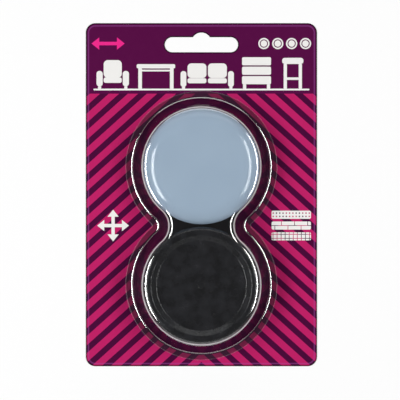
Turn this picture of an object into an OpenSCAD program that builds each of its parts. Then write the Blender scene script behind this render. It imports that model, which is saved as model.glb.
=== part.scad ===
// Round furniture sliders in a carded blister pack, lying on its back.
// Each pocket of the clear shell holds a stack of two sliders.
// X runs across the card, Y runs up the card to the hang slot, and Z points out of its front.
// Sizes are millimetres. The origin is the middle of the card's back face.

/* [Card] */
// Width of the card
card_w = 120; // [90:1:180]
// Height of the card's header above the blister's flange
header_h = 35.2; // [24:0.1:80]
// Thickness of the board
card_t = 0.6; // [0.4:0.05:1.2]
// Corner radius of the card
card_corner_r = 5; // [2:0.5:12]
// Overall length of the hang slot
slot_l = 38; // [28:0.5:60]
// Height of the hang slot
slot_h = 7.8; // [5:0.1:10]
// Distance from the card's top edge down to the middle of the hang slot
slot_drop = 11.2; // [9:0.1:14]
// Radius of the round rise over the middle of the hang slot
rise_r = 5.2; // [3:0.1:6]
// Height of the rise above the slot's top edge
rise_h = 2.4; // [1:0.1:3]
// Radius of the shoulders where the rise meets the slot's top edge
shoulder_r = 0.5; // [0.3:0.1:1.5]

/* [Slider] */
// Outside diameter of a slider
slider_d = 60; // [46:0.5:80]
// Overall height of a slider
slider_h = 10; // [9:0.1:14]
// Height of the straight side between the rounded edges of the plate and the rim
side_h = 0.4; // [0.2:0.1:1.5]
// Height of the glide plate at its outer edge
plate_h = 5; // [4:0.1:6.2]
// Depth of the seat in the back of the glide plate
seat_depth = 0.8; // [0.5:0.1:1.5]
// Width of the lip around that seat
seat_lip = 3; // [2:0.1:5]
// Thickness of the bond film
bond_t = 0.2; // [0.1:0.05:0.4]
// Radius of the rounded outer edge of the rim
rim_round_r = 3; // [2:0.1:3.6]
// Width of the flat top of the cup's rim
rim_w = 1.2; // [0.6:0.1:2]
// Width of the slope from the rim to the dish floor
slope_w = 2.8; // [1.5:0.1:6]
// Depth of the floor's edge below the rim
dish_drop = 2.2; // [1:0.1:2.6]
// Further fall of the floor from its edge to its middle
dish_sag = 0.8; // [0.3:0.1:1.2]
// Outside diameter of the mould mark in the middle of the dish
mark_d = 4; // [3:0.1:6]
// Width of the mould mark
mark_w = 0.5; // [0.3:0.05:0.8]
// Height of the mould mark
mark_h = 0.25; // [0.1:0.05:0.4]

/* [Blister] */
// Thickness of the clear sheet
shell_t = 0.45; // [0.3:0.05:0.8]
// Outside radius of the bubble's front corner
corner_r = 4; // [3:0.1:5]
// Draft of the bubble's wall from square to the card
draft_deg = 14.5; // [8:0.5:18]
// Outside radius at the foot of the wall
foot_r = 1; // [0.6:0.1:2]
// Width of the flange
flange_w = 3; // [2:0.1:5]
// Inside corner radius of the flange at the waist
waist_r = 1.5; // [0.8:0.1:6]
// Distance from the flange to the card's bottom edge
flange_margin = 3.2; // [2:0.1:8]
// Thickness of the seal band
seal_t = 0.1; // [0.05:0.05:0.3]
// Distance of the seal band from each edge of the flange
seal_inset = 0.3; // [0.1:0.1:0.8]

/* [Clearances] */
// Gap between the two stacks of sliders
slider_gap = 1; // [0.5:0.1:3]
// Gap from a slider's side to the top of the pocket's wall
pocket_gap = 0.75; // [0.6:0.05:2]
// Gap from the front sliders to the bubble's front
front_gap = 0.3; // [0.2:0.05:1]
// Gap around the cup's plug in its seat
plug_gap = 0.15; // [0.05:0.05:0.4]

/* [Hidden] */
$fn = 96;

// How far a cut runs past the face that it opens
overrun = 1;
// Number of straight steps in the curve of the dish floor
dish_steps = 10;
// Depth to which the mould mark is rooted in the dish floor
mark_root = 0.4;
// Straight steps in the shell's curves: half a pocket, the waist, the front corner and the foot
pocket_steps = 16;
waist_steps = 8;
corner_steps = 4;
foot_steps = 2;

// Slider section
slider_r = slider_d / 2;
plate_edge_r = slider_h - rim_round_r - side_h;
plate_flat_r = slider_r - plate_edge_r;
plate_back_r = plate_flat_r + sqrt(pow(plate_edge_r, 2) - pow(plate_edge_r - plate_h, 2));
seat_r = plate_back_r - seat_lip;
seat_z = plate_h - seat_depth;
plug_r = seat_r - plug_gap;
plug_z = seat_z + bond_t;
rim_flat_r = slider_r - rim_round_r;
rim_r = rim_flat_r - rim_w;
dish_r = rim_r - slope_w;
dish_edge_z = slider_h - dish_drop;
dish_mid_z = dish_edge_z - dish_sag;
mark_r = mark_d / 2;

// Stacks: the rear sliders lie on the card and the front sliders lie on them
rear_z = card_t;
front_z = rear_z + slider_h;
stack_top_z = front_z + slider_h;

// Bubble section: the wall leans out from the front corner to the foot on the flange
bubble_z = stack_top_z + front_gap + shell_t;
flange_top_z = card_t + seal_t + shell_t;
corner_mid = [slider_r + pocket_gap + shell_t - corner_r, bubble_z - corner_r];
wall_out = [cos(draft_deg), sin(draft_deg)];
wall_down = [sin(draft_deg), -cos(draft_deg)];
wall_top = corner_mid + corner_r * wall_out;
wall_fall = wall_top[1] - flange_top_z - foot_r + foot_r * wall_out[1];
wall_l = wall_fall / cos(draft_deg);
wall_foot = wall_top + wall_l * wall_down;
foot_mid = wall_foot + foot_r * wall_out;
flange_in_r = foot_mid[0];
flange_out_r = flange_in_r + flange_w;

// Hourglass plan: two pocket circles joined by waist arcs that keep one pair of centres
waist_pitch = flange_out_r + waist_r;
half_pitch = (slider_d + slider_gap) / 2;
waist_x = sqrt(pow(waist_pitch, 2) - pow(half_pitch, 2));
waist_deg = atan2(half_pitch, waist_x);
card_h = flange_margin + 2 * (flange_out_r + half_pitch) + header_h;
lower_y = flange_margin + flange_out_r - card_h / 2;
waist_y = lower_y + half_pitch;
upper_y = waist_y + half_pitch;

// Hang slot
slot_y = card_h / 2 - slot_drop;
slot_top_y = slot_y + slot_h / 2;
rise_y = slot_top_y + rise_h - rise_r;
shoulder_y = slot_top_y + shoulder_r;
shoulder_x = sqrt(pow(rise_r + shoulder_r, 2) - pow(shoulder_y - rise_y, 2));

// Rectangle with round corners, centred
module round_rect(w, h, r) {
  square([w - 2 * r, h], center = true);
  square([w, h - 2 * r], center = true);
  for (x = [-1, 1], y = [-1, 1])
    translate([x * (w / 2 - r), y * (h / 2 - r)])
      circle(r);
}

// Hang slot with round ends, and the round rise over its middle with its two shoulders
module hang_slot() {
  translate([0, slot_y])
    square([slot_l - slot_h, slot_h], center = true);
  for (x = [-1, 1])
    translate([x * (slot_l - slot_h) / 2, slot_y])
      circle(d = slot_h);
  intersection() {
    translate([0, rise_y])
      circle(rise_r);
    translate([-rise_r, slot_y])
      square(2 * rise_r);
  }
  for (x = [-shoulder_x, shoulder_x])
    difference() {
      polygon([[0, rise_y], [x, shoulder_y], [x, slot_top_y], [0, slot_y]]);
      translate([x, shoulder_y])
        circle(shoulder_r);
    }
}

// Pie of a pocket circle that leaves out the wedge towards the waist, opening upwards
module pocket_pie(r) {
  difference() {
    circle(r);
    polygon([
      [0, 0],
      [-waist_x, -half_pitch],
      [-waist_x, -half_pitch - r],
      [waist_x, -half_pitch - r],
      [waist_x, -half_pitch]
    ]);
  }
}

// Hourglass outline whose pockets have the radius r
module hourglass(r) {
  translate([0, upper_y])
    pocket_pie(r);
  translate([0, lower_y])
    rotate(180)
      pocket_pie(r);
  translate([0, waist_y])
    difference() {
      polygon([[waist_x, 0], [0, half_pitch], [-waist_x, 0], [0, -half_pitch]]);
      for (x = [-waist_x, waist_x])
        translate([x, 0])
          circle(waist_pitch - r);
    }
}

// Points of an arc about a middle, from one angle to another
function arc(middle, r, from_deg, to_deg, steps) = [
  for (i = [0:steps])
    let (a = from_deg + (to_deg - from_deg) * i / steps)
      middle + r * [cos(a), sin(a)]
];

// Right-hand side of the hourglass outline whose pockets have the radius r, from top to bottom
function right_side(r) = concat(
  arc([0, upper_y], r, 90, -waist_deg, pocket_steps),
  tail(arc([waist_x, waist_y], waist_pitch - r, 180 - waist_deg, 180 + waist_deg, waist_steps)),
  tail(arc([0, lower_y], r, waist_deg, -90, pocket_steps))
);

// A list without its first entry
function tail(points) = [for (i = [1:len(points) - 1]) points[i]];

// Ring of points at one level of the shell, right side down and left side up again
function level(radius_z) =
  let (side = right_side(radius_z[0]))
    concat(
      [for (p = side) [p[0], p[1], radius_z[1]]],
      [for (i = [len(side) - 2:-1:1]) [-side[i][0], side[i][1], radius_z[1]]]
    );

// Section of the shell as radius and height, down the outside and up the inside
function shell_section() = concat(
  arc(corner_mid, corner_r, 90, draft_deg, corner_steps),
  arc(foot_mid, foot_r, 180 + draft_deg, 270, foot_steps),
  [
    [flange_out_r, flange_top_z],
    [flange_out_r, flange_top_z - shell_t]
  ],
  arc(foot_mid, foot_r + shell_t, 270, 180 + draft_deg, foot_steps),
  arc(corner_mid, corner_r - shell_t, draft_deg, 90, corner_steps)
);

// Printed board with its hang slot
module backing_card() {
  color([0.31, 0.08, 0.26])
    linear_extrude(card_t)
      difference() {
        round_rect(card_w, card_h, card_corner_r);
        hang_slot();
      }
}

// Band of heat-seal adhesive under the flange
module seal_band() {
  color([0.75, 0.72, 0.74])
    translate([0, 0, card_t])
      linear_extrude(seal_t)
        difference() {
          hourglass(flange_out_r - seal_inset);
          hourglass(flange_in_r + seal_inset);
        }
}

// Rungs across one ring of an even number of points, from the top to the bottom of the hourglass
function rungs(first, ring) = [
  for (i = [0:ring / 2 - 1])
    let (
      right = first + i,
      right_below = right + 1,
      left = first + (ring - i) % ring,
      left_below = first + ring - i - 1
    )
      each concat(
        left_below == right_below ? [] : [[right, right_below, left_below]],
        left == right ? [] : [[right, left_below, left]]
      )
];

// Triangles between each ring of points and the next
function bands(rings, ring) = [
  for (k = [0:rings - 2], i = [0:ring - 1])
    let (a = k * ring + i, b = k * ring + (i + 1) % ring)
      each [[a, b + ring, b], [a, a + ring, b + ring]]
];

// Triangles turned to face the other way
function turned(faces) = [for (f = faces) [f[0], f[2], f[1]]];

// Clear formed sheet: flat front, leaning wall and flange in one piece
module blister_shell() {
  levels = [for (p = shell_section()) level(p)];
  rings = len(levels);
  ring = len(levels[0]);
  color([0.85, 0.88, 0.9, 0.35])
    polyhedron(
      points = [for (l = levels) each l],
      faces = concat(
        rungs(0, ring),
        bands(rings, ring),
        turned(rungs((rings - 1) * ring, ring))
      )
    );
}

// Hard plate that slides on the floor, glide face down at z = 0
module glide_plate() {
  color([0.62, 0.69, 0.76])
    rotate_extrude()
      difference() {
        union() {
          square([plate_flat_r, plate_h]);
          intersection() {
            translate([plate_flat_r, plate_edge_r])
              circle(plate_edge_r);
            translate([plate_flat_r, 0])
              square([plate_edge_r, plate_h]);
          }
        }
        translate([0, seat_z])
          square([seat_r, seat_depth + overrun]);
      }
}

// Adhesive between the plate's seat and the cup's plug
module bond_film() {
  color([0.85, 0.8, 0.62])
    translate([0, 0, seat_z])
      cylinder(h = bond_t, r = plug_r);
}

// Space that the dish and the rim leave open above the cup
module dish_space() {
  polygon(concat(
    [for (i = [0:dish_steps])
      let (share = i / dish_steps)
        [dish_r * share, dish_mid_z + dish_sag * pow(share, 2)]],
    [
      [rim_r, slider_h],
      [rim_r, slider_h + overrun],
      [0, slider_h + overrun]
    ]
  ));
}

// Rubber cup that a furniture leg stands in, on the plate's back
module grip_cup() {
  color([0.13, 0.13, 0.14])
    rotate_extrude()
      union() {
        difference() {
          union() {
            translate([0, plug_z])
              square([plug_r, plate_edge_r - plug_z]);
            translate([0, plate_h])
              square([plate_flat_r, plate_edge_r - plate_h]);
            intersection() {
              translate([plate_flat_r, plate_edge_r])
                circle(plate_edge_r);
              translate([plate_flat_r, plate_h])
                square([plate_edge_r, plate_edge_r - plate_h]);
            }
            translate([0, plate_edge_r])
              square([slider_r, slider_h - rim_round_r - plate_edge_r]);
            translate([0, slider_h - rim_round_r])
              square([rim_flat_r, rim_round_r]);
            intersection() {
              translate([rim_flat_r, slider_h - rim_round_r])
                circle(rim_round_r);
              translate([rim_flat_r, slider_h - rim_round_r])
                square([rim_round_r, rim_round_r]);
            }
          }
          dish_space();
        }
        translate([mark_r - mark_w, dish_mid_z - mark_root])
          square([mark_w, mark_root + mark_h]);
      }
}

// Places a slider's piece in the upper pocket, glide face to the front
module in_upper(z) {
  translate([0, upper_y, z + slider_h])
    rotate([180, 0, 0])
      children();
}

// Places a slider's piece in the lower pocket, cup to the front
module in_lower(z) {
  translate([0, lower_y, z])
    children();
}

module upper_front_glide_plate() in_upper(front_z) glide_plate();
module upper_front_bond_film() in_upper(front_z) bond_film();
module upper_front_grip_cup() in_upper(front_z) grip_cup();
module upper_rear_glide_plate() in_upper(rear_z) glide_plate();
module upper_rear_bond_film() in_upper(rear_z) bond_film();
module upper_rear_grip_cup() in_upper(rear_z) grip_cup();
module lower_front_glide_plate() in_lower(front_z) glide_plate();
module lower_front_bond_film() in_lower(front_z) bond_film();
module lower_front_grip_cup() in_lower(front_z) grip_cup();
module lower_rear_glide_plate() in_lower(rear_z) glide_plate();
module lower_rear_bond_film() in_lower(rear_z) bond_film();
module lower_rear_grip_cup() in_lower(rear_z) grip_cup();

backing_card();
seal_band();
blister_shell();
upper_front_glide_plate();
upper_front_bond_film();
upper_front_grip_cup();
upper_rear_glide_plate();
upper_rear_bond_film();
upper_rear_grip_cup();
lower_front_glide_plate();
lower_front_bond_film();
lower_front_grip_cup();
lower_rear_glide_plate();
lower_rear_bond_film();
lower_rear_grip_cup();
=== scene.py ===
"""Looks of a pack of round furniture sliders: a printed hang card, a clear blister and four sliders.

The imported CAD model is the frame. X runs across the card, Y runs up it and Z points out of its front.
The object's sizes are in millimetres, and MM turns them into metres. The stage is written in metres.
Sizes and places on the object have names in lower case, and settings of the looks in upper case.
"""

import math

import bmesh
import bpy
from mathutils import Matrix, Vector
from mathutils.geometry import tessellate_polygon


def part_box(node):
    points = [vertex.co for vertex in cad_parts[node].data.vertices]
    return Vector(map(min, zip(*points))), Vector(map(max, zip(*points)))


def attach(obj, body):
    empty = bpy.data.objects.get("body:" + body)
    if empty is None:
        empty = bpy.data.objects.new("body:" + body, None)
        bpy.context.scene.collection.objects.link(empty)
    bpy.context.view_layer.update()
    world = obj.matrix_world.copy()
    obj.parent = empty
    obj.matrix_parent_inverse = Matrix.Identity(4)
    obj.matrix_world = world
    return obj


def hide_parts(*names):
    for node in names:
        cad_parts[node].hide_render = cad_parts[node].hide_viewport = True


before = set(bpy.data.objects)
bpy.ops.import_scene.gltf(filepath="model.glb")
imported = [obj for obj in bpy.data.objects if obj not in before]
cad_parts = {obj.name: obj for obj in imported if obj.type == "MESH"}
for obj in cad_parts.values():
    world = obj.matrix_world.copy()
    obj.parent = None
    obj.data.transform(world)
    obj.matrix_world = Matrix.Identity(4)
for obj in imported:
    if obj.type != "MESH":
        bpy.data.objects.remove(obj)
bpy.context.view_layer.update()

MM = 0.001


def span(node):
    """Lowest and highest corner of a CAD node, in millimetres."""
    low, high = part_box(node)
    return low / MM, high / MM


# Card
card_low, card_high = span("backing_card")
card_w = card_high.x - card_low.x
card_h = card_high.y - card_low.y
card_t = card_high.z - card_low.z
card_corner_r = 5.0
slot_l = 38.0
slot_h = 7.8
slot_drop = 11.2
rise_r = 5.2
rise_h = 2.4
shoulder_r = 0.5
edge_roll_w = 0.45
edge_roll_drop = 0.18
back_round_r = 0.1

# Slider section, with the glide face at zero
cup_low, cup_high = span("lower_front_grip_cup")
slider_r = 30.0
slider_h = cup_high.z - span("lower_front_glide_plate")[0].z
side_h = 0.4
plate_h = 5.0
seat_depth = 0.8
seat_lip = 3.0
bond_t = 0.2
plug_gap = 0.15
rim_round_r = 3.0
rim_w = 1.2
rim_edge_r = 0.9
slope_w = 2.8
dish_drop = 2.2
dish_sag = 0.8
dish_edge_r = 1.0
mark_r = 2.0
mark_w = 0.5
mark_h = 0.25
mark_edge_r = 0.2
seam_r = 0.12
edge_soft_w = 9.0

plate_edge_r = slider_h - rim_round_r - side_h
plate_back_r = slider_r - plate_edge_r + math.sqrt(plate_edge_r ** 2 - (plate_edge_r - plate_h) ** 2)
seat_r = plate_back_r - seat_lip
seat_z = plate_h - seat_depth
plug_r = seat_r - plug_gap
plug_z = seat_z + bond_t
rim_r = slider_r - rim_round_r - rim_w
dish_r = rim_r - slope_w
dish_edge_z = slider_h - dish_drop
dish_mid_z = dish_edge_z - dish_sag

# Bubble section
shell_low, shell_high = span("blister_shell")
shell_t = 0.45
corner_r = 4.0
draft_deg = 14.5
# The CAD's fillet at the foot, which places the flange, and the softer one that is drawn
foot_r = 1.0
foot_soft_r = 1.5
flange_w = 3.0
flange_edge_r = 0.12
waist_r = 1.5
pocket_gap = 0.75
seal_inset = 0.3
seal_clear = 0.02
# Heights of a white line on the inner face near the top of the wall, which is a painted reflection
sheen_line_z = (18.5, 19.4)
sheen_line_soft = 0.2

bubble_z = shell_high.z
flange_top_z = shell_low.z + shell_t
corner_mid = Vector((slider_r + pocket_gap + shell_t - corner_r, bubble_z - corner_r))
wall_out = Vector((math.cos(math.radians(draft_deg)), math.sin(math.radians(draft_deg))))
wall_down = Vector((wall_out.y, -wall_out.x))
wall_top = corner_mid + corner_r * wall_out


def foot_centre(radius):
    """Middle of a fillet of that radius between the wall and the flange."""
    fall = wall_top.y - flange_top_z - radius + radius * wall_out.y
    return wall_top + fall / wall_out.x * wall_down + radius * wall_out


flange_in_r = foot_centre(foot_r).x
flange_out_r = flange_in_r + flange_w
foot_mid = foot_centre(foot_soft_r)

# Hourglass plan: two pocket circles joined by waist arcs
upper_y = (span("upper_front_grip_cup")[0].y + span("upper_front_grip_cup")[1].y) / 2
lower_y = (cup_low.y + cup_high.y) / 2
waist_y = (upper_y + lower_y) / 2
half_pitch = (upper_y - lower_y) / 2
waist_pitch = flange_out_r + waist_r
waist_x = math.sqrt(waist_pitch ** 2 - half_pitch ** 2)
waist_deg = math.degrees(math.atan2(half_pitch, waist_x))

# Hang slot
slot_y = card_high.y - slot_drop
slot_top_y = slot_y + slot_h / 2
rise_y = slot_top_y + rise_h - rise_r
shoulder_y = slot_top_y + shoulder_r
shoulder_x = math.sqrt((rise_r + shoulder_r) ** 2 - (shoulder_y - rise_y) ** 2)

# Straight steps in each kind of curve
TURN_STEPS = 224
POCKET_STEPS = 88
WAIST_STEPS = 40
CORNER_STEPS = 18
FOOT_STEPS = 12
ROUND_STEPS = 6
DISH_STEPS = 18

# Edges that turn by more degrees than this stay sharp
SHARP_DEG = 32


def srgb(red, green, blue):
    """Colour of a material from its 0 to 255 values."""
    parts = [channel / 255 for channel in (red, green, blue)]
    linear = [p / 12.92 if p <= 0.04045 else ((p + 0.055) / 1.055) ** 2.4 for p in parts]
    return (*linear, 1.0)


# Colours of the print, some of which also paint light and shade, as said at each
PURPLE = srgb(83, 8, 65)
DEEP_PURPLE = srgb(70, 4, 54)
# Darker copy of the purple under the bubble's wall: painted shade
PLUM_WALL_SHADE = srgb(58, 7, 45)
MAGENTA = srgb(188, 30, 99)
PINK = srgb(238, 42, 138)
OFF_WHITE = srgb(240, 239, 236)
# Near-black print under the sliders, made darker still to paint the shade in the gap between them
SHADED_NEAR_BLACK = srgb(27, 26, 29)
# Painted highlight and painted shade along the card's edges and the slot's
VIOLET_EDGE_HIGHLIGHT = srgb(160, 78, 162)
CUT_EDGE_SHADE = srgb(16, 4, 14)
# Mauve that darkens the print under the seal, as painted shade around the bubble's foot
SEAL_SHADE_MAUVE = srgb(58, 28, 50)
INK_BLUSH = srgb(255, 225, 240)
BARE_FIBRE = srgb(206, 196, 198)

# Colours of the board, the sheet, the sliders and the stage
BOARD_GREY = srgb(188, 182, 172)
BOARD_PALE = srgb(222, 218, 210)
BOARD_FLECK = srgb(132, 122, 112)
SHEET_TINT = (0.985, 0.99, 0.99, 1.0)
SHEET_WHITE = srgb(240, 230, 236)
PLATE_DEEP = srgb(174, 195, 218)
PLATE_PALE = srgb(187, 208, 229)
PLATE_RUB = srgb(204, 217, 228)
RUBBER_BLACK = srgb(21, 21, 23)
RUBBER_BLOOM = srgb(42, 42, 46)
RUBBER_DUST = srgb(120, 118, 114)
FILM_AMBER = srgb(206, 190, 140)
FILM_PALE = srgb(228, 218, 182)
PAPER_GREY = (0.93, 0.93, 0.93, 1.0)
PAPER_PALE = (0.96, 0.96, 0.96, 1.0)
WHITE = (1.0, 1.0, 1.0, 1.0)


# Curves and meshes

def arc(middle, radius, start_deg, end_deg, steps):
    """Points of an arc about a middle."""
    points = []
    for step in range(steps + 1):
        angle = math.radians(start_deg + (end_deg - start_deg) * step / steps)
        points.append(Vector((middle[0] + radius * math.cos(angle), middle[1] + radius * math.sin(angle))))
    return points


def rounded(corners, steps=ROUND_STEPS):
    """Path through corners of (x, y, radius), where a corner with a radius becomes an arc."""
    path = []
    for index, (x, y, radius) in enumerate(corners):
        here = Vector((x, y))
        if radius == 0:
            path.append(here)
            continue
        back = (Vector(corners[index - 1][:2]) - here).normalized()
        ahead = (Vector(corners[index + 1][:2]) - here).normalized()
        half = back.angle(ahead) / 2
        middle = here + (back + ahead).normalized() * radius / math.sin(half)
        first = here + back * radius / math.tan(half) - middle
        last = here + ahead * radius / math.tan(half) - middle
        start = math.atan2(first.y, first.x)
        turn = math.remainder(math.atan2(last.y, last.x) - start, 2 * math.pi)
        path += arc(middle, radius, math.degrees(start), math.degrees(start + turn), steps)
    return path


def hourglass(radius):
    """Outline of the hourglass whose pockets have that radius, once round from the top."""
    waist = (waist_x, waist_y)
    right = arc((0, upper_y), radius, 90, -waist_deg, POCKET_STEPS)[:-1]
    right += arc(waist, waist_pitch - radius, 180 - waist_deg, 180 + waist_deg, WAIST_STEPS)[:-1]
    right += arc((0, lower_y), radius, waist_deg, -90, POCKET_STEPS)
    return right + [Vector((-p.x, p.y)) for p in reversed(right[1:-1])]


def card_outline(inset):
    """Outline of the card, drawn in by an inset."""
    x = card_w / 2 - inset
    y = card_h / 2 - inset
    radius = card_corner_r - inset
    corners = [(x - radius, y - radius, 0), (radius - x, y - radius, 90)]
    corners += [(radius - x, radius - y, 180), (x - radius, radius - y, 270)]
    return [p for cx, cy, a in corners for p in arc((cx, cy), radius, a, a + 90, CORNER_STEPS)]


def slot_outline(outset):
    """Outline of the hang slot with its round rise, let out by an outset."""
    end_x = (slot_l - slot_h) / 2
    end_r = slot_h / 2 + outset
    rise_deg = math.degrees(math.atan2(shoulder_y - rise_y, shoulder_x))
    outline = arc((end_x, slot_y), end_r, -90, 90, CORNER_STEPS)
    outline += arc((shoulder_x, shoulder_y), shoulder_r - outset, 270, 180 + rise_deg, FOOT_STEPS)
    outline += arc((0, rise_y), rise_r + outset, rise_deg, 180 - rise_deg, CORNER_STEPS)[1:-1]
    outline += arc((-shoulder_x, shoulder_y), shoulder_r - outset, -rise_deg, -90, FOOT_STEPS)
    return outline + arc((-end_x, slot_y), end_r, 90, 270, CORNER_STEPS)


class Shape:
    """Points and faces of one piece, gathered level by level."""

    def __init__(self):
        self.points = []
        self.faces = []
        self.slots = []

    def ring(self, outline, z):
        """Adds a ring of points at one level and returns their numbers."""
        first = len(self.points)
        self.points += [(p.x, p.y, z) for p in outline]
        return list(range(first, len(self.points)))

    def face(self, corners, slot=0):
        """Adds a face between numbered points, in one of the piece's materials."""
        self.faces.append(corners)
        self.slots.append(slot)

    def band(self, ring, following, slot=0):
        """Faces between two rings of as many points, or between a ring and a single point."""
        if len(ring) == 1:
            ring, following = following, ring
        count = len(ring)
        for i in range(count):
            after = (i + 1) % count
            if len(following) == 1:
                self.face([ring[i], ring[after], following[0]], slot)
            else:
                self.face([ring[i], ring[after], following[after], following[i]], slot)

    def cap(self, rings, slot=0):
        """Flat triangles inside the first ring and outside the others."""
        numbers = [n for ring in rings for n in ring]
        loops = [[Vector(self.points[n]) for n in ring] for ring in rings]
        for triangle in tessellate_polygon(loops):
            self.face([numbers[i] for i in triangle], slot)

    def build(self, name, materials, place=None):
        """The shape as an object. A place is a middle and whether the piece lies glide face up."""
        mesh = bpy.data.meshes.new(name)
        mesh.from_pydata([[c * MM for c in p] for p in self.points], [], self.faces)
        for material in materials:
            mesh.materials.append(material)
        mesh.polygons.foreach_set("material_index", self.slots)
        work = bmesh.new()
        work.from_mesh(mesh)
        bmesh.ops.recalc_face_normals(work, faces=work.faces)
        for face in work.faces:
            face.smooth = True
        for edge in work.edges:
            edge.smooth = edge.calc_face_angle() < math.radians(SHARP_DEG)
        work.to_mesh(mesh)
        work.free()
        made = bpy.data.objects.new(name, mesh)
        bpy.context.scene.collection.objects.link(made)
        weighted = made.modifiers.new("even_normals", "WEIGHTED_NORMAL")
        weighted.keep_sharp = True
        if place is not None:
            made.location = [c * MM for c in place[0]]
            made.rotation_euler.x = math.pi if place[1] else 0
        return made


def turned(name, section, materials, place):
    """Solid turned about Z from a section of radius and height that starts and ends on the axis."""
    shape = Shape()
    rings = []
    for radius, z in section:
        steps = TURN_STEPS if radius > 0 else 1
        circle = arc((0, 0), radius, 0, 360, steps)[:-1]
        rings.append(shape.ring(circle, z))
    for ring, following in zip(rings, rings[1:]):
        shape.band(ring, following)
    return shape.build(name, materials, place)


# Node trees written as formulas

class Field:
    """A number that varies over a surface. Sums and products of fields become math nodes."""

    def __init__(self, graph, socket):
        self.graph = graph
        self.socket = socket

    def calc(self, operation, *others, clamp=False):
        """The result of a math node on this field and the others."""
        made = self.graph.node("Math", operation=operation, use_clamp=clamp)
        for socket, value in zip(made.inputs, (self, *others)):
            self.graph.put(socket, value)
        return Field(self.graph, made.outputs[0])

    def __add__(self, other):
        return self.calc("ADD", other)

    def __sub__(self, other):
        return self.calc("SUBTRACT", other)

    def __mul__(self, other):
        return self.calc("MULTIPLY", other)

    def __truediv__(self, other):
        return self.calc("DIVIDE", other)

    def __abs__(self):
        return self.calc("ABSOLUTE")

    def least(self, other):
        return self.calc("MINIMUM", other)

    def most(self, other):
        return self.calc("MAXIMUM", other)

    def part(self):
        """What is left above the whole number below."""
        return self.calc("FRACT")

    def rest(self):
        """What is missing to 1."""
        return self * -1 + 1

    def hypot(self, other):
        return (self * self + other * other).calc("SQRT")

    def step(self, low, high):
        """A smooth rise from 0 at low to 1 at high."""
        made = self.graph.node("MapRange", interpolation_type="SMOOTHSTEP")
        for socket, value in zip(made.inputs, (self, low, high)):
            self.graph.put(socket, value)
        return Field(self.graph, made.outputs[0])

    def inside(self, soft):
        """Cover of the shape whose signed distance this is, 1 inside and 0 outside."""
        return self.calc("MULTIPLY_ADD", -1 / soft, 0.5, clamp=True)


class Graph:
    """Node tree of one material or of the world."""

    def __init__(self, owner):
        owner.use_nodes = True
        self.owner = owner
        self.tree = owner.node_tree
        self.tree.nodes.clear()

    def node(self, kind, inputs=None, **settings):
        """Adds a node, with values or links for its inputs and its own settings."""
        made = self.tree.nodes.new("ShaderNode" + kind)
        for key, value in settings.items():
            setattr(made, key, value)
        for key, value in (inputs or {}).items():
            self.put(made.inputs[key], value)
        return made

    def put(self, socket, value):
        """Links a field, a node's first output or a socket, or sets a plain value."""
        if isinstance(value, Field):
            value = value.socket
        if isinstance(value, bpy.types.Node):
            value = value.outputs[0]
        if isinstance(value, bpy.types.NodeSocket):
            self.tree.links.new(value, socket)
        else:
            socket.default_value = value

    def parts(self, vector):
        """The three fields of a vector."""
        split = self.node("SeparateXYZ", {0: vector})
        return [Field(self, out) for out in split.outputs]

    def place(self):
        """Object coordinates in millimetres, as a vector and as its three fields."""
        coordinates = self.node("TexCoord").outputs["Object"]
        scaled = self.node("VectorMath", {0: coordinates, 1: (1 / MM,) * 3}, operation="MULTIPLY")
        return scaled.outputs[0], self.parts(scaled)

    def vector(self, x, y, z):
        """A vector from three fields or numbers."""
        return self.node("CombineXYZ", {0: x, 1: y, 2: z}).outputs[0]

    def noise(self, vector, size, detail):
        """Soft noise about 0.5, with blotches of about that size in millimetres."""
        made = self.node("TexNoise", {"Vector": vector, "Scale": 1 / size, "Detail": detail})
        return Field(self, made.outputs[0])

    def streaks(self, fields, along, across, texture):
        """Noise drawn out at a slant: along and across say how fast it changes with x and with y."""
        x, y, z = fields
        first = x * along[0] + y * along[1]
        second = x * across[0] + y * across[1]
        return self.noise(self.vector(first, second, z), *texture)

    def cells(self, vector, size):
        """Distance to the nearest of points scattered that far apart, in millimetres."""
        made = self.node("TexVoronoi", {"Vector": vector, "Scale": 1 / size})
        return Field(self, made.outputs["Distance"]) * size

    def specks(self, vector, pitch, radii, patch, patch_cut):
        """Cover of soft specks scattered that far apart, where a patchy noise lets them show."""
        return self.cells(vector, pitch).step(*radii) * self.noise(vector, *patch).step(*patch_cut)

    def mix(self, share, first, second, blend="MIX"):
        """Colour between two colours, the second by its share."""
        made = self.node("Mix", data_type="RGBA", blend_type=blend)
        # Inputs 6 and 7 and output 2 of this node are its colours
        for index, value in ((0, share), (6, first), (7, second)):
            self.put(made.inputs[index], value)
        return made.outputs[2]

    def bump(self, height, depth, normal=None):
        """Relief of a 0 to 1 height that is that many millimetres deep."""
        made = self.node("Bump", {"Height": height, "Distance": depth * MM, "Strength": 1.0})
        if normal is not None:
            self.put(made.inputs["Normal"], normal)
        return made.outputs[0]

    def ray(self, *kinds):
        """1 for rays of any of these kinds."""
        path = self.node("LightPath")
        total = Field(self, path.outputs[f"Is {kinds[0]} Ray"])
        for kind in kinds[1:]:
            total = total.most(Field(self, path.outputs[f"Is {kind} Ray"]))
        return total

    def show(self, shader):
        """Sends a shader to the output and returns the material."""
        kind = "OutputWorld" if isinstance(self.owner, bpy.types.World) else "OutputMaterial"
        self.node(kind, {"Surface": shader})
        return self.owner

    def surface(self, colour, rough, normal, others=None):
        """Shows an opaque surface and returns the material."""
        inputs = {"Base Color": colour, "Roughness": rough, "Normal": normal}
        return self.show(self.node("BsdfPrincipled", {**inputs, **(others or {})}))


def new_graph(name):
    """Empty node tree of a new material."""
    return Graph(bpy.data.materials.new(name))


# Shapes of the print, as signed distances in millimetres

def box(x, y, half_w, half_h, radius):
    """Signed distance to a box with round corners."""
    across = abs(x) - (half_w - radius)
    up = abs(y) - (half_h - radius)
    return across.most(0).hypot(up.most(0)) + across.most(up).least(0) - radius


def arrow_head(along, aside, base, tip, half_w):
    """Signed distance to a triangle that points along from its base to its tip."""
    slope = half_w / (tip - base)
    side = (aside + along * slope - tip * slope) / math.hypot(1, slope)
    return side.most(along * -1 + base)


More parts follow.
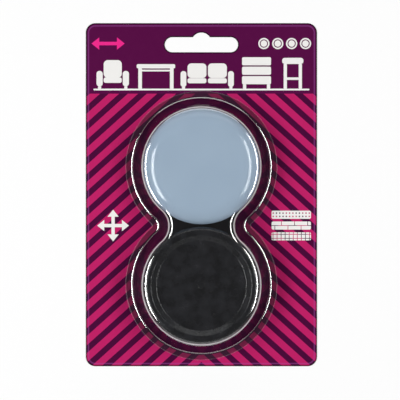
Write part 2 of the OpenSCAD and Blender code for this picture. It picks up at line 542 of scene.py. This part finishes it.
def pocket_radius(x, y):
    """Radius of the pockets of the hourglass that goes through a point."""
    up = abs(y - waist_y)
    pocket = x.hypot(up - half_pitch)
    waist = (abs(x) - waist_x).hypot(up) * -1 + waist_pitch
    between = (abs(x) / waist_x + up / half_pitch).calc("LESS_THAN", 1)
    return pocket + (waist - pocket) * between


# Print of the card
PRINT_EDGE = 0.12
header_low_y = 52.4
panel_gap = 0.6
wall_shade_out_r = flange_in_r + seal_inset
panel_in_r = slider_r + panel_gap
stripe_pitch = 6.6
stripe_share = 0.54
stripe_rise = 0.9
floor_y = 55.0
floor_line_h = 0.9
floor_line_w = 112.0

# Furniture pictograms on the floor line, as boxes of (middle x, middle y, width, height, corner radius)
# that are drawn on both sides of the pictogram's middle
armchair = {
    "back": (0, 10.2, 9.4, 9.2, 2.2),
    "seat": (0, 4.4, 9.4, 2.8, 1.0),
    "arm": (6.8, 5.2, 3.2, 8.0, 1.5),
    "foot": (6.8, 0.5, 1.6, 1.4, 0.2),
}
table = {
    "top": (0, 11.6, 20.0, 2.2, 0.8),
    "leg": (8.2, 5.2, 1.9, 11.0, 0.4),
    "apron": (0, 9.4, 15.0, 0.9, 0.2),
}
sofa = {
    "back": (5.3, 9.3, 9.8, 7.6, 2.0),
    "seat": (5.3, 4.1, 9.8, 2.6, 1.0),
    "arm": (12.3, 5.0, 3.0, 8.2, 1.4),
    "foot": (12.3, 0.5, 1.6, 1.4, 0.2),
}
dresser = {
    "top_drawer": (0, 14.2, 15.0, 4.2, 0.7),
    "middle_drawer": (0, 9.3, 15.0, 4.2, 0.7),
    "low_drawer": (0, 4.4, 15.0, 4.2, 0.7),
    "foot": (6.2, 1.0, 1.7, 2.6, 0.2),
}
stool = {
    "seat": (0, 14.4, 11.0, 3.2, 1.4),
    "leg": (3.9, 6.4, 1.7, 13.0, 0.4),
    "rung": (0, 5.2, 8.6, 1.3, 0.4),
}
# Where the middle of each pictogram stands
pictograms = [(-46.0, armchair), (-23.6, table), (3.0, sofa), (28.6, dresser), (47.4, stool)]

# Four discs and a double arrow in the header. A place is the middle, a shaft is its half length and
# half width, and a head is its base and tip from the middle and its half width.
disc_row = (43.2, 78.4)
disc_pitch = 7.2
disc_r = 2.9
disc_line_r = 1.9
disc_line_w = 0.5
slide_arrow = (-48.4, 78.4)
slide_shaft = (5.6, 0.9)
slide_head = (4.6, 8.6, 3.2)

# Four-way arrow on the left and three floor samples on the right of the waist
move_arrow = (-45.8, waist_y)
move_shaft = (5.0, 0.85)
move_head = (4.6, 8.2, 2.9)
sample_x = 46.6
sample_pitch = 5.6
sample_half = (10.2, 2.1)
sample_corner_r = 0.8
dot_pitch = 1.7
dot_r = 0.38
plank_l = 6.8
tile_pitch = 2.1
joint_w = 0.34

# Edge of the card: a dark line at the cut, which is painted shade, and a soft violet line inside it, which
# is a painted highlight on the rolled-over edge
cut_line_w = 0.65
cut_line_share = 0.8
pale_line_in = 1.45
pale_line_w = 0.5
pale_line_share = 0.42


def union(shapes):
    """Signed distance to the nearest of several shapes."""
    total = shapes[0]
    for shape in shapes[1:]:
        total = total.least(shape)
    return total


def pictogram(x, y, middle_x, boxes):
    """Signed distance to a pictogram that stands on the floor line, alike on both sides."""
    across = abs(x - middle_x)
    shapes = [box(across - cx, y - (floor_y + cy), w / 2, h / 2, r) for cx, cy, w, h, r in boxes.values()]
    return union(shapes)


def white_print(x, y):
    """Cover of everything that is printed off-white."""
    shapes = [pictogram(x, y, middle_x, boxes) for middle_x, boxes in pictograms]
    half_h = floor_line_h / 2
    shapes.append(box(x, y - (floor_y - half_h), floor_line_w / 2, half_h, half_h))
    across = abs(abs(x - disc_row[0]) - disc_pitch) - disc_pitch / 2
    from_middle = across.hypot(y - disc_row[1])
    line = abs(from_middle - disc_line_r) - disc_line_w / 2
    shapes.append((from_middle - disc_r).most(line * -1))
    right = abs(x - move_arrow[0])
    up = abs(y - move_arrow[1])
    along = right.most(up)
    aside = right.least(up)
    shapes.append((aside - move_shaft[1]).most(along - move_shaft[0]))
    shapes.append(arrow_head(along, aside, *move_head))
    return union(shapes).inside(PRINT_EDGE)


def repeat(value, pitch):
    """Signed distance from the nearest of evenly spaced middles."""
    return ((value / pitch).part() - 0.5) * pitch


def floor_samples(x, y):
    """Cover of three bars that stand for carpet, boards and tiles."""
    across = x - sample_x
    bars = []
    for row, kind in ((1, "carpet"), (0, "boards"), (-1, "tiles")):
        up = y - (waist_y + row * sample_pitch)
        bar = box(across, up, sample_half[0], sample_half[1], sample_corner_r)
        if kind == "carpet":
            pattern = repeat(across, dot_pitch).hypot(repeat(up, dot_pitch)) - dot_r
        elif kind == "boards":
            shifted = across + up.calc("SIGN") * (plank_l / 4)
            ends = abs(repeat(shifted, plank_l)) - joint_w / 2
            pattern = ends.least(abs(up) - joint_w / 2)
        else:
            pattern = abs(repeat(across, tile_pitch)).least(abs(repeat(up, tile_pitch))) - joint_w / 2
        bars.append(bar.most(pattern * -1))
    return union(bars).inside(PRINT_EDGE)


def pink_print(x, y):
    """Cover of the double arrow."""
    along = abs(x - slide_arrow[0])
    aside = abs(y - slide_arrow[1])
    shaft = (aside - slide_shaft[1]).most(along - slide_shaft[0])
    return shaft.least(arrow_head(along, aside, *slide_head)).inside(PRINT_EDGE)


def edge_distances(x, y):
    """Distance from the card's outer edge, and from the edge of its hang slot."""
    outer = box(x, y, card_w / 2, card_h / 2, card_corner_r) * -1
    slot = box(x, y - slot_y, slot_l / 2, slot_h / 2, slot_h / 2)
    rise = x.hypot(y - rise_y) - rise_r
    return outer, slot.least(rise)


# Textures of the materials are (size in millimetres, detail). Depths are in millimetres, and a cut
# gives the levels of a texture where it starts to show and where it is full.

# Printed ink, and the seal over it, which darkens the print as painted shade around the bubble's foot
INK_MOTTLE = (3.0, 4.0)
INK_MOTTLE_SHARE = 0.1
INK_MOTTLE_DULL = 0.06
INK_GRAIN = (0.22, 3.0)
INK_GRAIN_DEPTH = 0.004
INK_GRAIN_DULL = 0.05
INK_FIBRE = (6.0, 2.0)
INK_FIBRE_DEPTH = 0.02
INK_SCUFF = (0.6, 5.0)
INK_SCUFF_CUT = (0.62, 0.72)
INK_SCUFF_SHARE = 0.7
INK_SCUFF_DULL = 0.3
INK_ROUGH = 0.2
INK_SPECULAR = 0.35
# How much the seal's painted shade darkens the print under it
SEAL_SHADE_SHARE = 0.6
SEAL_FLOW = (2.4, 4.0)
SEAL_FLOW_CUT = (0.3, 0.75)
SEAL_FLOW_SHARE = 0.15
scuff_reach = (0.35, 0.0)


def print_material(name, seal_shade_share):
    """Glossy ink on the front of the card, darkened by as much painted shade under the seal as is asked
    for.
    """
    graph = new_graph(name)
    place, (x, y, _) = graph.place()
    slant = math.hypot(1, stripe_rise)
    stripe = abs(repeat(y + abs(x) * stripe_rise, stripe_pitch * slant))
    stripe = stripe / slant - stripe_pitch * stripe_share / 2
    radius = pocket_radius(x, y)
    below = (y - header_low_y).inside(PRINT_EDGE)
    colour = graph.mix(below, PURPLE, DEEP_PURPLE)
    colour = graph.mix(stripe.inside(PRINT_EDGE) * below, colour, MAGENTA)
    # Painted shade under the bubble's wall, as a darker purple
    colour = graph.mix((radius - wall_shade_out_r).inside(PRINT_EDGE), colour, PLUM_WALL_SHADE)
    # Near-black print under the sliders, partly painted shade in the gap between them
    colour = graph.mix((radius - panel_in_r).inside(PRINT_EDGE), colour, SHADED_NEAR_BLACK)
    colour = graph.mix(white_print(x, y).most(floor_samples(x, y)), colour, OFF_WHITE)
    colour = graph.mix(pink_print(x, y), colour, PINK)

    outer, slot = edge_distances(x, y)
    edge = outer.least(slot)
    # Painted highlight inside the edge, and painted shade at the cut of the edge and of the slot
    painted_edge_highlight = (abs(outer - pale_line_in) - pale_line_w / 2).inside(pale_line_w) * pale_line_share
    colour = graph.mix(painted_edge_highlight, colour, VIOLET_EDGE_HIGHLIGHT)
    painted_cut_shade = (edge - cut_line_w).inside(cut_line_w / 2) * cut_line_share
    colour = graph.mix(painted_cut_shade, colour, CUT_EDGE_SHADE)
    # Painted shade around the bubble's foot, mottled by a noise, on the print under the seal
    flow = graph.noise(place, *SEAL_FLOW).step(*SEAL_FLOW_CUT)
    seal_shade = flow * SEAL_FLOW_SHARE + (1 - SEAL_FLOW_SHARE)
    colour = graph.mix(seal_shade * seal_shade_share, colour, SEAL_SHADE_MAUVE)

    mottle = graph.noise(place, *INK_MOTTLE)
    grain = graph.noise(place, *INK_GRAIN)
    scuff = graph.noise(place, *INK_SCUFF).step(*INK_SCUFF_CUT) * edge.step(*scuff_reach)
    colour = graph.mix(mottle * INK_MOTTLE_SHARE, colour, INK_BLUSH, "SOFT_LIGHT")
    colour = graph.mix(scuff * INK_SCUFF_SHARE, colour, BARE_FIBRE)
    rough = mottle * INK_MOTTLE_DULL + grain * INK_GRAIN_DULL + scuff * INK_SCUFF_DULL + INK_ROUGH
    fine = graph.bump(grain, INK_GRAIN_DEPTH)
    normal = graph.bump(graph.noise(place, *INK_FIBRE), INK_FIBRE_DEPTH, fine)
    return graph.surface(colour, rough, normal, {"Specular IOR Level": INK_SPECULAR})


# Bare board
BOARD_FIBRE = (0.35, 4.0)
BOARD_FIBRE_DRAW = 0.25
BOARD_FIBRE_SHARE = 0.6
BOARD_FIBRE_DEPTH = 0.02
BOARD_FIBRE_DULL = 0.15
BOARD_CLOUD = (14.0, 3.0)
BOARD_ROUGH = 0.78
FLECK_PATCH = (1.1, 2.0)
FLECK_PATCH_CUT = (0.55, 0.7)
FLECK_SHARE = 0.5
fleck_pitch = 2.6
fleck_radii = (0.3, 0.12)


def board_material():
    """Bare grey-white board on the back and the cut edges of the card."""
    graph = new_graph("bare_board")
    place, (x, y, z) = graph.place()
    fibres = graph.noise(graph.vector(x * BOARD_FIBRE_DRAW, y, z), *BOARD_FIBRE)
    cloud = graph.noise(place, *BOARD_CLOUD)
    fleck = graph.specks(place, fleck_pitch, fleck_radii, FLECK_PATCH, FLECK_PATCH_CUT)
    tone = fibres * BOARD_FIBRE_SHARE + cloud * (1 - BOARD_FIBRE_SHARE)
    colour = graph.mix(tone, BOARD_GREY, BOARD_PALE)
    colour = graph.mix(fleck * FLECK_SHARE, colour, BOARD_FLECK)
    rough = fibres * BOARD_FIBRE_DULL + BOARD_ROUGH
    return graph.surface(colour, rough, graph.bump(fibres, BOARD_FIBRE_DEPTH))


# Clear sheet. A lean is the upright part of the face's normal, where an effect starts and where it is full.
SHEET_IOR = 1.8
MIRROR_MOST = 0.16
WALL_MIRROR_SHARE = 0.6
WALL_LEAN = (0.22, 0.4)
FOOT_MIRROR_GAIN = 1.8
CORNER_MIRROR_GAIN = 0.4
CORNER_LEAN = (0.995, 0.97)
SHEET_ROUGH = 0.12
FOOT_ROUGH = 0.16
RIM_ROUGH = 0.5
SHEET_WAVE = (18.0, 1.0)
SHEET_WAVE_DEPTH = 0.008
SPECK = (0.9, 4.0)
SPECK_CUT = (0.54, 0.7)
SPECK_SHARE = 0.1
SPECK_ROUGH = 0.5
SCRATCH = (0.8, 2.0)
SCRATCH_ALONG = (0.12, 0.1)
SCRATCH_ACROSS = (-1.4, 2.2)
SCRATCH_CUT = (0.64, 0.72)
SCRATCH_SHARE = 0.01
SCRATCH_DULL = 0.03
# Noise, cut, least strength and gain of that white line, a painted reflection
SHEEN_LINE = (12.0, 3.0)
SHEEN_LINE_CUT = (0.3, 0.65)
SHEEN_LINE_LEAST = 0.5
SHEEN_LINE_GAIN = 0.3
# How far inside its cut edge the flange's rim starts and is full, and how high the foot's gloss lies
rim_inset = (0.6, 0.1)
foot_gloss_low = (0.02, 0.1)
foot_gloss_high = (1.6, 0.8)


def clear_material():
    """Clear formed sheet. Its outer face mirrors for both faces, and other light goes straight through.

    The mirror is weaker on the walls, stronger on the two fillets, and not seen in other reflections.
    Soft waves, fine scratches and a dull, specked rim break it up, and a white line on the inner face below
    the front's edge is a painted reflection.
    """
    graph = new_graph("clear_sheet")
    place, (x, y, z) = graph.place()
    geometry = graph.node("NewGeometry")
    inner = Field(graph, geometry.outputs["Backfacing"])
    upright = abs(graph.parts(geometry.outputs["True Normal"])[2])
    above = z - flange_top_z
    foot = above.step(*foot_gloss_low) * above.step(*foot_gloss_high)
    corner = z.step(bubble_z - corner_r, bubble_z - corner_r / 2) * upright.step(*CORNER_LEAN)
    rim = pocket_radius(x, y).step(flange_out_r - rim_inset[0], flange_out_r - rim_inset[1])
    rim = rim * z.step(flange_top_z + foot_r, flange_top_z)

    specks = graph.noise(place, *SPECK).step(*SPECK_CUT) * rim
    scratch = graph.streaks((x, y, z), SCRATCH_ALONG, SCRATCH_ACROSS, SCRATCH).step(*SCRATCH_CUT)
    # White band on the inner face near the top of the wall: a painted reflection
    sheen_line = z.step(sheen_line_z[0] - sheen_line_soft, sheen_line_z[0]) * z.step(sheen_line_z[1] + sheen_line_soft, sheen_line_z[1])
    sheen_line = sheen_line * (graph.noise(place, *SHEEN_LINE).step(*SHEEN_LINE_CUT) * SHEEN_LINE_GAIN + SHEEN_LINE_LEAST) * inner
    cloud_and_sheen = specks * SPECK_SHARE + scratch * SCRATCH_SHARE + sheen_line

    normal = graph.bump(graph.noise(place, *SHEET_WAVE), SHEET_WAVE_DEPTH)
    one_face = Field(graph, graph.node("Fresnel", {"IOR": SHEET_IOR, "Normal": normal}).outputs[0])
    both_faces = one_face * 2 / (one_face + 1)
    lying = upright.step(*WALL_LEAN) * (1 - WALL_MIRROR_SHARE) + WALL_MIRROR_SHARE
    first_seen = graph.ray("Glossy", "Diffuse").rest()
    mirrored = both_faces.least(MIRROR_MOST) * lying * first_seen * inner.rest()
    mirrored = mirrored * (foot * FOOT_MIRROR_GAIN + corner * CORNER_MIRROR_GAIN + 1)
    rough = scratch * SCRATCH_DULL + foot * (FOOT_ROUGH - SHEET_ROUGH) + SHEET_ROUGH
    rough = rough + rim * (RIM_ROUGH - SHEET_ROUGH)

    through = graph.node("BsdfTransparent", {"Color": SHEET_TINT})
    gloss = graph.node(
        "BsdfAnisotropic",
        {"Color": WHITE, "Roughness": rough, "Normal": normal},
        distribution="BECKMANN",
    )
    sheet = graph.node("MixShader", {0: mirrored, 1: through, 2: gloss})
    # White for the rim's specks and the scratches, and for the painted reflection line
    white = graph.node("BsdfPrincipled", {"Base Color": SHEET_WHITE, "Roughness": SPECK_ROUGH})
    return graph.show(graph.node("MixShader", {0: cloud_and_sheen, 1: sheet, 2: white}))


# Glide plastic
PLATE_CLOUD = (18.0, 3.0)
PLATE_CLOUD_DEPTH = 0.05
PLATE_GRAIN = (0.16, 2.0)
PLATE_GRAIN_DEPTH = 0.0016
PLATE_GRAIN_DULL = 0.03
PLATE_ROUGH = 0.1
PLATE_IOR = 1.58
RUB = (0.7, 3.0)
RUB_ALONG = (0.06, 0.03)
RUB_ACROSS = (-0.5, 1.1)
RUB_CUT = (0.6, 0.75)
RUB_SHARE = 0.12
RUB_DULL = 0.05


def plate_material():
    """Hard blue-grey low-friction plastic with a fine moulded grain and faint rubs."""
    graph = new_graph("glide_plastic")
    place, fields = graph.place()
    cloud = graph.noise(place, *PLATE_CLOUD)
    grain = graph.noise(place, *PLATE_GRAIN)
    rub = graph.streaks(fields, RUB_ALONG, RUB_ACROSS, RUB).step(*RUB_CUT)
    colour = graph.mix(cloud, PLATE_DEEP, PLATE_PALE)
    colour = graph.mix(rub * RUB_SHARE, colour, PLATE_RUB)
    rough = grain * PLATE_GRAIN_DULL + rub * RUB_DULL + PLATE_ROUGH
    normal = graph.bump(cloud, PLATE_CLOUD_DEPTH, graph.bump(grain, PLATE_GRAIN_DEPTH))
    return graph.surface(colour, rough, normal, {"IOR": PLATE_IOR})


# Grip rubber
RUBBER_CLOUD = (6.0, 6.0)
RUBBER_CLOUD_CUT = (0.2, 0.8)
RUBBER_CLOUD_DULL = 0.08
RUBBER_GRAIN = (0.3, 3.0)
RUBBER_GRAIN_DEPTH = 0.006
RUBBER_GRAIN_DULL = 0.06
RUBBER_ROUGH = 0.17
TOOL_LINES = (0.45, 2.0)
TOOL_LINES_DEPTH = 0.008
DUST_PATCH = (2.0, 2.0)
DUST_PATCH_CUT = (0.5, 0.66)
DUST_SHARE = 0.35
dust_pitch = 3.4
dust_radii = (0.26, 0.08)


def rubber_material():
    """Black rubber with a fine grain, the mould's turned lines, a dull bloom and a little dust."""
    graph = new_graph("grip_rubber")
    place, (x, y, z) = graph.place()
    cloud = graph.noise(place, *RUBBER_CLOUD).step(*RUBBER_CLOUD_CUT)
    grain = graph.noise(place, *RUBBER_GRAIN)
    lines = graph.noise(graph.vector(x.hypot(y), z, 0.0), *TOOL_LINES)
    dust = graph.specks(place, dust_pitch, dust_radii, DUST_PATCH, DUST_PATCH_CUT)
    colour = graph.mix(cloud, RUBBER_BLACK, RUBBER_BLOOM)
    colour = graph.mix(dust * DUST_SHARE, colour, RUBBER_DUST)
    rough = cloud * RUBBER_CLOUD_DULL + grain * RUBBER_GRAIN_DULL + RUBBER_ROUGH
    normal = graph.bump(lines, TOOL_LINES_DEPTH, graph.bump(grain, RUBBER_GRAIN_DEPTH))
    return graph.surface(colour, rough, normal)


# Bond adhesive
FILM_ROUGH = 0.35
AIR_DULL = 0.2
AIR_DEPTH = 0.02
air_pitch = 1.8
air_radii = (0.5, 0.2)


def film_material():
    """Thin amber adhesive with trapped air."""
    graph = new_graph("bond_adhesive")
    place, _ = graph.place()
    air = graph.cells(place, air_pitch).step(*air_radii)
    colour = graph.mix(air, FILM_AMBER, FILM_PALE)
    return graph.surface(colour, air * AIR_DULL + FILM_ROUGH, graph.bump(air, AIR_DEPTH))


# Pieces

def make_card(ink, board):
    """Board with its hang slot. The cut bruises the front's edge over, and the back's edge is crisp."""
    ink_slot = 0
    board_slot = 1
    bare_bands = 2
    levels = [(back_round_r, 0.0), (0.0, back_round_r), (0.0, card_t - edge_roll_drop)]
    for step in range(1, ROUND_STEPS + 1):
        angle = math.radians(90 * step / ROUND_STEPS)
        inset = edge_roll_w * (1 - math.cos(angle))
        levels.append((inset, card_t - edge_roll_drop * (1 - math.sin(angle))))
    shape = Shape()
    rings = []
    for inset, z in levels:
        rings.append((shape.ring(card_outline(inset), z), shape.ring(slot_outline(inset), z)))
    for index in range(len(rings) - 1):
        slot = board_slot if index < bare_bands else ink_slot
        for ring, following in zip(rings[index], rings[index + 1]):
            shape.band(ring, following, slot)
    shape.cap(rings[0], board_slot)
    shape.cap(rings[-1], ink_slot)
    card = shape.build("printed_card", [ink, board])
    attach(card, "card")
    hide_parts("backing_card")


def make_blister(clear):
    """Formed sheet: flat front, leaning wall and flange in one piece."""
    section = arc(corner_mid, corner_r, 90, draft_deg, CORNER_STEPS)
    section += arc(foot_mid, foot_soft_r, 180 + draft_deg, 270, FOOT_STEPS)
    section += rounded(
        [
            (foot_mid.x, flange_top_z, 0),
            (flange_out_r, flange_top_z, flange_edge_r),
            (flange_out_r, shell_low.z, flange_edge_r),
            (foot_mid.x, shell_low.z, 0),
        ]
    )[1:-1]
    section += arc(foot_mid, foot_soft_r + shell_t, 270, 180 + draft_deg, FOOT_STEPS)
    section += arc(corner_mid, corner_r - shell_t, draft_deg, 90, CORNER_STEPS)
    shape = Shape()
    rings = [shape.ring(hourglass(radius), z) for radius, z in section]
    for ring, following in zip(rings, rings[1:]):
        shape.band(ring, following)
    shape.cap(rings[:1])
    shape.cap(rings[-1:])
    blister = shape.build("clear_blister", [clear])
    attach(blister, "blister")
    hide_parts("blister_shell")


def make_seal(seal_shade):
    """Flat band of lacquer that repeats the print below it, darkened by painted shade around the bubble's
    foot.

    It lies a hair clear of the card and the flange, so that no two faces are in one plane.
    """
    low, high = span("seal_band")
    in_r = flange_in_r + seal_inset
    out_r = flange_out_r - seal_inset
    low_z = low.z + seal_clear
    high_z = high.z - seal_clear
    shape = Shape()
    section = [(in_r, low_z), (out_r, low_z), (out_r, high_z), (in_r, high_z)]
    rings = [shape.ring(hourglass(radius), z) for radius, z in section]
    for ring, following in zip(rings, rings[1:] + rings[:1]):
        shape.band(ring, following)
    seal = shape.build("lacquer_seal_shaded", [seal_shade])
    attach(seal, "card")
    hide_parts("seal_band")


def edge_arc(low_z, high_z, steps):
    """Stretch of the slider's rounded edge between two heights, drawn out towards the middle."""
    start = math.degrees(math.asin(low_z / plate_edge_r - 1))
    end = math.degrees(math.asin(high_z / plate_edge_r - 1))
    circle = arc((0, plate_edge_r), plate_edge_r, start, end, steps)
    return [Vector((slider_r - edge_soft_w + p.x * edge_soft_w / plate_edge_r, p.y)) for p in circle]


def plate_section():
    """Section of a glide plate: flat face, rounded edge, and a seat in its back."""
    outer = edge_arc(0.0, plate_h - seam_r, CORNER_STEPS * 2)
    seam = edge_arc(plate_h, plate_h, 1)[0]
    back = rounded(
        [
            (outer[-1].x, outer[-1].y, 0),
            (seam.x, plate_h, seam_r),
            (seat_r, plate_h, seam_r),
            (seat_r, seat_z, seam_r),
            (0, seat_z, 0),
        ]
    )
    return [Vector((0, 0))] + outer + back[1:]


def cup_section():
    """Section of a grip cup: plug, side, rounded rim, slope and dished floor with its mould mark."""
    edge = edge_arc(plate_h + seam_r, plate_edge_r, CORNER_STEPS)
    seam = edge_arc(plate_h, plate_h, 1)[0]
    plug = rounded(
        [
            (0, plug_z, 0),
            (plug_r, plug_z, seam_r),
            (plug_r, plate_h, seam_r),
            (seam.x, plate_h, seam_r),
            (edge[0].x, edge[0].y, 0),
        ]
    )

    def floor_z(radius):
        """Height of the dished floor at a radius."""
        return dish_mid_z + dish_sag * (radius / dish_r) ** 2

    first_r = dish_r - dish_edge_r
    rim = rounded(
        [
            (slider_r, plate_edge_r, 0),
            (slider_r, slider_h, rim_round_r),
            (rim_r, slider_h, rim_edge_r),
            (dish_r, dish_edge_z, dish_edge_r),
            (first_r, floor_z(first_r), 0),
        ],
        CORNER_STEPS,
    )
    mark_in_r = mark_r - mark_w
    radii = [first_r + (mark_r - first_r) * k / DISH_STEPS for k in range(1, DISH_STEPS)]
    dish = [Vector((radius, floor_z(radius))) for radius in radii]
    mark_top_z = floor_z(mark_r) + mark_h
    mark = rounded(
        [
            (mark_r, floor_z(mark_r), 0),
            (mark_r, mark_top_z, mark_edge_r),
            (mark_in_r, mark_top_z, mark_edge_r),
            (mark_in_r, floor_z(mark_in_r), 0),
        ]
    )
    return plug[:-1] + edge + rim[1:] + dish + mark + [Vector((0, dish_mid_z))]


def make_sliders(plastic, rubber):
    """Two sliders in each pocket: the upper ones show the glide face and the lower ones the cup."""
    plate = plate_section()
    cup = cup_section()
    for pocket, middle_y in (("upper", upper_y), ("lower", lower_y)):
        for layer in ("front", "rear"):
            name = f"{pocket}_{layer}"
            turned_over = pocket == "upper"
            low = span(f"{name}_grip_cup")[0].z
            low = min(low, span(f"{name}_glide_plate")[0].z)
            place = ((0, middle_y, low + slider_h if turned_over else low), turned_over)
            for kind, section, material in (("glide_plate", plate, plastic), ("grip_cup", cup, rubber)):
                made = turned(f"{name}_{kind}_skin", section, [material], place)
                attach(made, f"{name}_slider")
                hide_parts(f"{name}_{kind}")


def dress(node, material):
    """Gives a CAD node that is kept as it is its own material."""
    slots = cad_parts[node].data.materials
    slots.clear()
    slots.append(material)


# Stage, light and camera, in metres
FLOOR_HALF = 6.0
FLOOR_GLOW_SHARE = 0.72
FLOOR_NEAR = 0.18
FLOOR_FAR = 0.5
MIRROR_NEAR = 0.09
MIRROR_FAR = 0.16
MIRROR_FALL = 0.4
PAPER_SPECKLE = (4.0, 3.0)
PAPER_SPECKLE_DULL = 0.1
PAPER_ROUGH = 0.85


def floor_material():
    """Pale floor that keeps the pack's shadow.

    It is white to the camera, and in reflections it is brightest near the pack.
    """
    graph = new_graph("pale_floor")
    place, (x, y, _) = graph.place()
    away = x.hypot(y) * MM
    seen = away.step(FLOOR_NEAR, FLOOR_FAR) * (1 - FLOOR_GLOW_SHARE) + FLOOR_GLOW_SHARE
    mirrored = away.step(MIRROR_NEAR, MIRROR_FAR) * -MIRROR_FALL + FLOOR_GLOW_SHARE
    glow = (graph.ray("Camera") * seen).most(graph.ray("Glossy", "Transmission") * mirrored)
    speckle = graph.noise(place, *PAPER_SPECKLE)
    tone = graph.mix(speckle, PAPER_GREY, PAPER_PALE)
    rough = speckle * PAPER_SPECKLE_DULL + PAPER_ROUGH
    paper = graph.node("BsdfPrincipled", {"Base Color": tone, "Roughness": rough})
    white = graph.node("Emission", {"Color": WHITE, "Strength": 1.0})
    # The glow is there to be seen, so it isn't sampled as a lamp
    graph.owner.cycles.emission_sampling = "NONE"
    return graph.show(graph.node("MixShader", {0: glow, 1: paper, 2: white}))


def make_floor():
    """Square floor at the card's back."""
    mesh = bpy.data.meshes.new("floor")
    corners = [(-1, -1), (1, -1), (1, 1), (-1, 1)]
    mesh.from_pydata([(x * FLOOR_HALF, y * FLOOR_HALF, 0) for x, y in corners], [], [(0, 1, 2, 3)])
    mesh.materials.append(floor_material())
    floor = bpy.data.objects.new("floor", mesh)
    bpy.context.scene.collection.objects.link(floor)


WORLD_ZENITH = 0.035
WORLD_HORIZON = 0.5
HORIZON_HIGH = 0.35


def make_world():
    """Pale horizon that fades to a dim ceiling, and plain white to the camera."""
    world = bpy.data.worlds.new("studio")
    bpy.context.scene.world = world
    graph = Graph(world)
    height = graph.parts(graph.node("TexCoord").outputs["Generated"])[2]
    ceiling = height.step(HORIZON_HIGH, 0.0) * (WORLD_HORIZON - WORLD_ZENITH) + WORLD_ZENITH
    level = ceiling.most(graph.ray("Camera"))
    graph.show(graph.node("Background", {"Color": WHITE, "Strength": level}))


LAMP_TARGET = Vector((0, 0, 0.01))
# Softboxes: where each stands, its length, its width and its power in watts
LAMPS = {
    "left_strip": ((-0.66, -0.10, 0.75), 0.80, 0.25, 7.4),
    "right_strip": ((0.66, 0.02, 0.75), 0.84, 0.23, 5.7),
    "top_fill": ((0.0, 0.95, 0.42), 1.50, 0.50, 2.2),
    "low_fill": ((0.0, -0.95, 0.42), 1.50, 0.50, 0.6),
}


def make_lamps():
    """Soft lamps that face the pack and stay out of the camera's sight."""
    for name, (place, length, width, power) in LAMPS.items():
        lamp = bpy.data.lights.new(name, "AREA")
        lamp.shape = "RECTANGLE"
        lamp.size = length
        lamp.size_y = width
        lamp.energy = power
        made = bpy.data.objects.new(name, lamp)
        made.location = place
        made.rotation_mode = "QUATERNION"
        made.rotation_quaternion = (LAMP_TARGET - Vector(place)).to_track_quat("-Z", "Y")
        made.visible_camera = False
        bpy.context.scene.collection.objects.link(made)


CAMERA_PLACE = (-0.00073, -0.00275, 1.25)
CAMERA_REACH = (0.05, 50.0)
# Width of the camera's sensor and length of its lens, in millimetres
CAMERA_SENSOR = 36.0
CAMERA_LENS = 216.8


def make_camera():
    """Straight down on the pack's front, from far enough to keep its sides out of view."""
    data = bpy.data.cameras.new("camera")
    data.sensor_width = CAMERA_SENSOR
    data.lens = CAMERA_LENS
    data.clip_start = CAMERA_REACH[0]
    data.clip_end = CAMERA_REACH[1]
    camera = bpy.data.objects.new("camera", data)
    camera.location = CAMERA_PLACE
    bpy.context.scene.collection.objects.link(camera)
    bpy.context.scene.camera = camera


bpy.context.scene.view_settings.view_transform = "Standard"
make_camera()
make_floor()
make_world()
make_lamps()

make_card(print_material("printed_ink", 0.0), board_material())
make_blister(clear_material())
make_sliders(plate_material(), rubber_material())
make_seal(print_material("sealed_shaded_ink", SEAL_SHADE_SHARE))
film = film_material()
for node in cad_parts:
    if node.endswith("bond_film"):
        dress(node, film)
